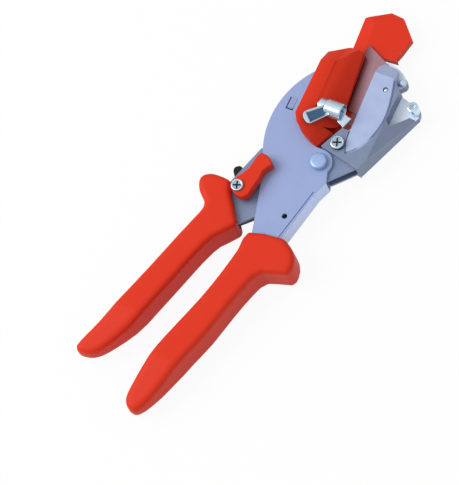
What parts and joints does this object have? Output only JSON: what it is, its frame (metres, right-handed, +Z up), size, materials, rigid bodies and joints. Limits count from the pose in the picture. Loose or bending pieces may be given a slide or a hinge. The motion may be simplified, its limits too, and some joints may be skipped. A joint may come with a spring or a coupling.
{
  "type": "gasket shears",
  "caption": "Gasket shears with moulded grips, a straight blade, a mitre anvil with a swivelling front stop on a wing bolt, and a hinged catch.",
  "frame": {"origin": "on the main pivot's axis, in the plane of the back faces that the tool rests on", "axes": "+X along the jaws away from the grips, +Y from the blade towards the anvil, +Z up through the plates towards the pivot bolt's head"},
  "size_m": [0.2507, 0.1128, 0.0286],
  "materials": {
    "orange_plastic": "satin",
    "plate_steel": "satin",
    "cast_holder": "satin",
    "bright_zinc": "bright",
    "ground_blade": "ground",
    "black_parts": "matte"
  },
  "bodies": {
    "anvil_arm": {"anvil_arm_frame": "plate_steel", "right_grip": "orange_plastic", "pivot_bolt": "bright_zinc", "pivot_nut": "bright_zinc", "anvil_bed": "cast_holder", "mitre_anvil": "orange_plastic", "wing_bolt_nut": "bright_zinc"},
    "blade_arm": {"blade_arm_frame": "plate_steel", "left_grip": "orange_plastic", "blade_holder": "cast_holder", "clamp_plate": "plate_steel", "blade": "ground_blade", "pan_screw": "bright_zinc", "clamp_screw": "bright_zinc", "stop_screw": "bright_zinc", "pan_nut": "bright_zinc", "clamp_nut": "bright_zinc", "stop_nut": "bright_zinc", "corner_screw": "bright_zinc", "corner_nut": "bright_zinc", "return_spring": "black_parts"},
    "stop": {"front_stop": "orange_plastic"},
    "wing": {"wing_bolt": "bright_zinc"},
    "catch": {"catch_lever": "orange_plastic", "catch_rear_arm": "black_parts", "catch_screw": "bright_zinc"}
  },
  "joints": [
    {"name": "main_pivot", "type": "hinge", "parent": "anvil_arm", "child": "blade_arm", "pos_m": [0, 0, 0.01], "axis": [0, 0, 1], "range_deg": [0, 7.5], "stiffness_Nm_per_rad": 0.4, "springref_deg": -17.19},
    {"name": "stop_swivel", "type": "hinge", "parent": "anvil_arm", "child": "stop", "pos_m": [0.028, 0.012, 0.0205], "axis": [0, -1, 0], "range_deg": [0, 45]},
    {"name": "wing_turn", "type": "hinge", "parent": "anvil_arm", "child": "wing", "pos_m": [0.028, 0, 0.0205], "axis": [0, -1, 0], "range_deg": [-35, 0]},
    {"name": "catch_pivot", "type": "hinge", "parent": "blade_arm", "child": "catch", "pos_m": [-0.0288, 0.0325, 0.0195], "axis": [0, 0, 1], "range_deg": [-28, 0]}
  ]
}
